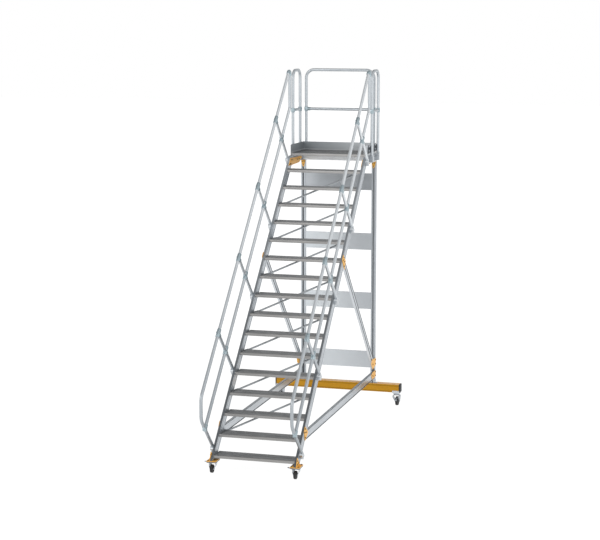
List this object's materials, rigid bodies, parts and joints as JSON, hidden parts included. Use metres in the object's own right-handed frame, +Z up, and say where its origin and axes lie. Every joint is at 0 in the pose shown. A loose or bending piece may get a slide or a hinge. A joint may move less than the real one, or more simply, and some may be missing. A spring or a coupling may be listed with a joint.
{
  "type": "rolling warehouse ladder",
  "caption": "Mobile platform stair at 45 degrees with handrails, a guarded top platform, a wide rear cross beam and braked swivel casters.",
  "frame": {"origin": "centre of the footprint box, at floor level under the wheels", "axes": "+Z up, +Y the way a climber faces, from the lowest tread towards the platform, +X to the climber's right along the treads and the rear beam"},
  "size_m": [1.8, 4.3474, 4.65],
  "materials": {
    "aluminium_profile": "extruded, satin, fine lengthwise draw lines",
    "aluminium_tube": "bright satin tube",
    "ribbed_aluminium": "ribbed non-slip profile, matt",
    "aluminium_sheet": "plain mill sheet",
    "toe_board_sheet": "grey matt sheet",
    "zinc_plated_steel": "bright zinc plated",
    "orange_paint": "orange-yellow powder coat, satin",
    "yellow_beam": "deep yellow powder coat, satin",
    "black_tyre": "black rubber"
  },
  "bodies": {
    "ladder": {"stringer_left": "aluminium_profile", "handrail_left": "aluminium_tube", "guard_left": "aluminium_tube", "rear_post_left": "aluminium_profile", "upper_brace_left": "aluminium_profile", "lower_strut_left": "aluminium_profile", "foot_bracket_left": "orange_paint", "beam_saddle_left": "zinc_plated_steel", "stringer_right": "aluminium_profile", "handrail_right": "aluminium_tube", "guard_right": "aluminium_tube", "rear_post_right": "aluminium_profile", "upper_brace_right": "aluminium_profile", "lower_strut_right": "aluminium_profile", "foot_bracket_right": "orange_paint", "beam_saddle_right": "zinc_plated_steel", "tread_01": "ribbed_aluminium", "tread_02": "ribbed_aluminium", "tread_03": "ribbed_aluminium", "tread_04": "ribbed_aluminium", "tread_05": "ribbed_aluminium", "tread_06": "ribbed_aluminium", "tread_07": "ribbed_aluminium", "tread_08": "ribbed_aluminium", "tread_09": "ribbed_aluminium", "tread_10": "ribbed_aluminium", "tread_11": "ribbed_aluminium", "tread_12": "ribbed_aluminium", "tread_13": "ribbed_aluminium", "tread_14": "ribbed_aluminium", "tread_15": "ribbed_aluminium", "tread_16": "ribbed_aluminium", "cross_rod_1": "zinc_plated_steel", "cross_rod_2": "zinc_plated_steel", "cross_rod_3": "zinc_plated_steel", "cross_rod_4": "zinc_plated_steel", "cross_rod_5": "zinc_plated_steel", "cross_rod_6": "zinc_plated_steel", "cross_rod_7": "zinc_plated_steel", "bracing_panel_1": "aluminium_sheet", "bracing_panel_2": "aluminium_sheet", "bracing_panel_3": "aluminium_sheet", "bracing_panel_4": "aluminium_sheet", "guard_back": "aluminium_tube", "platform_deck": "ribbed_aluminium", "platform_frame": "aluminium_profile", "toe_boards": "toe_board_sheet", "traverse_beam": "yellow_beam"},
    "caster_front_left": {"caster_fork_front_left": "zinc_plated_steel"},
    "wheel_front_left": {"caster_wheel_front_left": "black_tyre"},
    "pedal_front_left": {"brake_pedal_front_left": "zinc_plated_steel"},
    "caster_front_right": {"caster_fork_front_right": "zinc_plated_steel"},
    "wheel_front_right": {"caster_wheel_front_right": "black_tyre"},
    "pedal_front_right": {"brake_pedal_front_right": "zinc_plated_steel"},
    "caster_rear_left": {"caster_fork_rear_left": "zinc_plated_steel"},
    "wheel_rear_left": {"caster_wheel_rear_left": "black_tyre"},
    "pedal_rear_left": {"brake_pedal_rear_left": "zinc_plated_steel"},
    "caster_rear_right": {"caster_fork_rear_right": "zinc_plated_steel"},
    "wheel_rear_right": {"caster_wheel_rear_right": "black_tyre"},
    "pedal_rear_right": {"brake_pedal_rear_right": "zinc_plated_steel"}
  },
  "joints": [
    {"name": "swivel_front_left", "type": "hinge", "parent": "ladder", "child": "caster_front_left", "pos_m": [-0.515, -1.83875, 0.123], "axis": [0, 0, 1], "continuous": true},
    {"name": "roll_front_left", "type": "hinge", "parent": "caster_front_left", "child": "wheel_front_left", "pos_m": [-0.515, -1.87675, 0.05], "axis": [1, 0, 0], "continuous": true},
    {"name": "brake_front_left", "type": "hinge", "parent": "caster_front_left", "child": "pedal_front_left", "pos_m": [-0.5573, -1.83875, 0.122], "axis": [0, -1, 0], "range_deg": [0, 12]},
    {"name": "swivel_front_right", "type": "hinge", "parent": "ladder", "child": "caster_front_right", "pos_m": [0.515, -1.83875, 0.123], "axis": [0, 0, 1], "continuous": true},
    {"name": "roll_front_right", "type": "hinge", "parent": "caster_front_right", "child": "wheel_front_right", "pos_m": [0.515, -1.87675, 0.05], "axis": [1, 0, 0], "continuous": true},
    {"name": "brake_front_right", "type": "hinge", "parent": "caster_front_right", "child": "pedal_front_right", "pos_m": [0.4727, -1.83875, 0.122], "axis": [0, -1, 0], "range_deg": [0, 12]},
    {"name": "swivel_rear_left", "type": "hinge", "parent": "ladder", "child": "caster_rear_left", "pos_m": [-0.84, 2.06625, 0.161], "axis": [0, 0, 1], "continuous": true},
    {"name": "roll_rear_left", "type": "hinge", "parent": "caster_rear_left", "child": "wheel_rear_left", "pos_m": [-0.84, 2.11125, 0.0625], "axis": [1, 0, 0], "continuous": true},
    {"name": "brake_rear_left", "type": "hinge", "parent": "caster_rear_left", "child": "pedal_rear_left", "pos_m": [-0.84, 2.04225, 0.118], "axis": [1, 0, 0], "range_deg": [0, 12]},
    {"name": "swivel_rear_right", "type": "hinge", "parent": "ladder", "child": "caster_rear_right", "pos_m": [0.84, 2.06625, 0.161], "axis": [0, 0, 1], "continuous": true},
    {"name": "roll_rear_right", "type": "hinge", "parent": "caster_rear_right", "child": "wheel_rear_right", "pos_m": [0.84, 2.11125, 0.0625], "axis": [1, 0, 0], "continuous": true},
    {"name": "brake_rear_right", "type": "hinge", "parent": "caster_rear_right", "child": "pedal_rear_right", "pos_m": [0.84, 2.04225, 0.118], "axis": [1, 0, 0], "range_deg": [0, 12]}
  ]
}
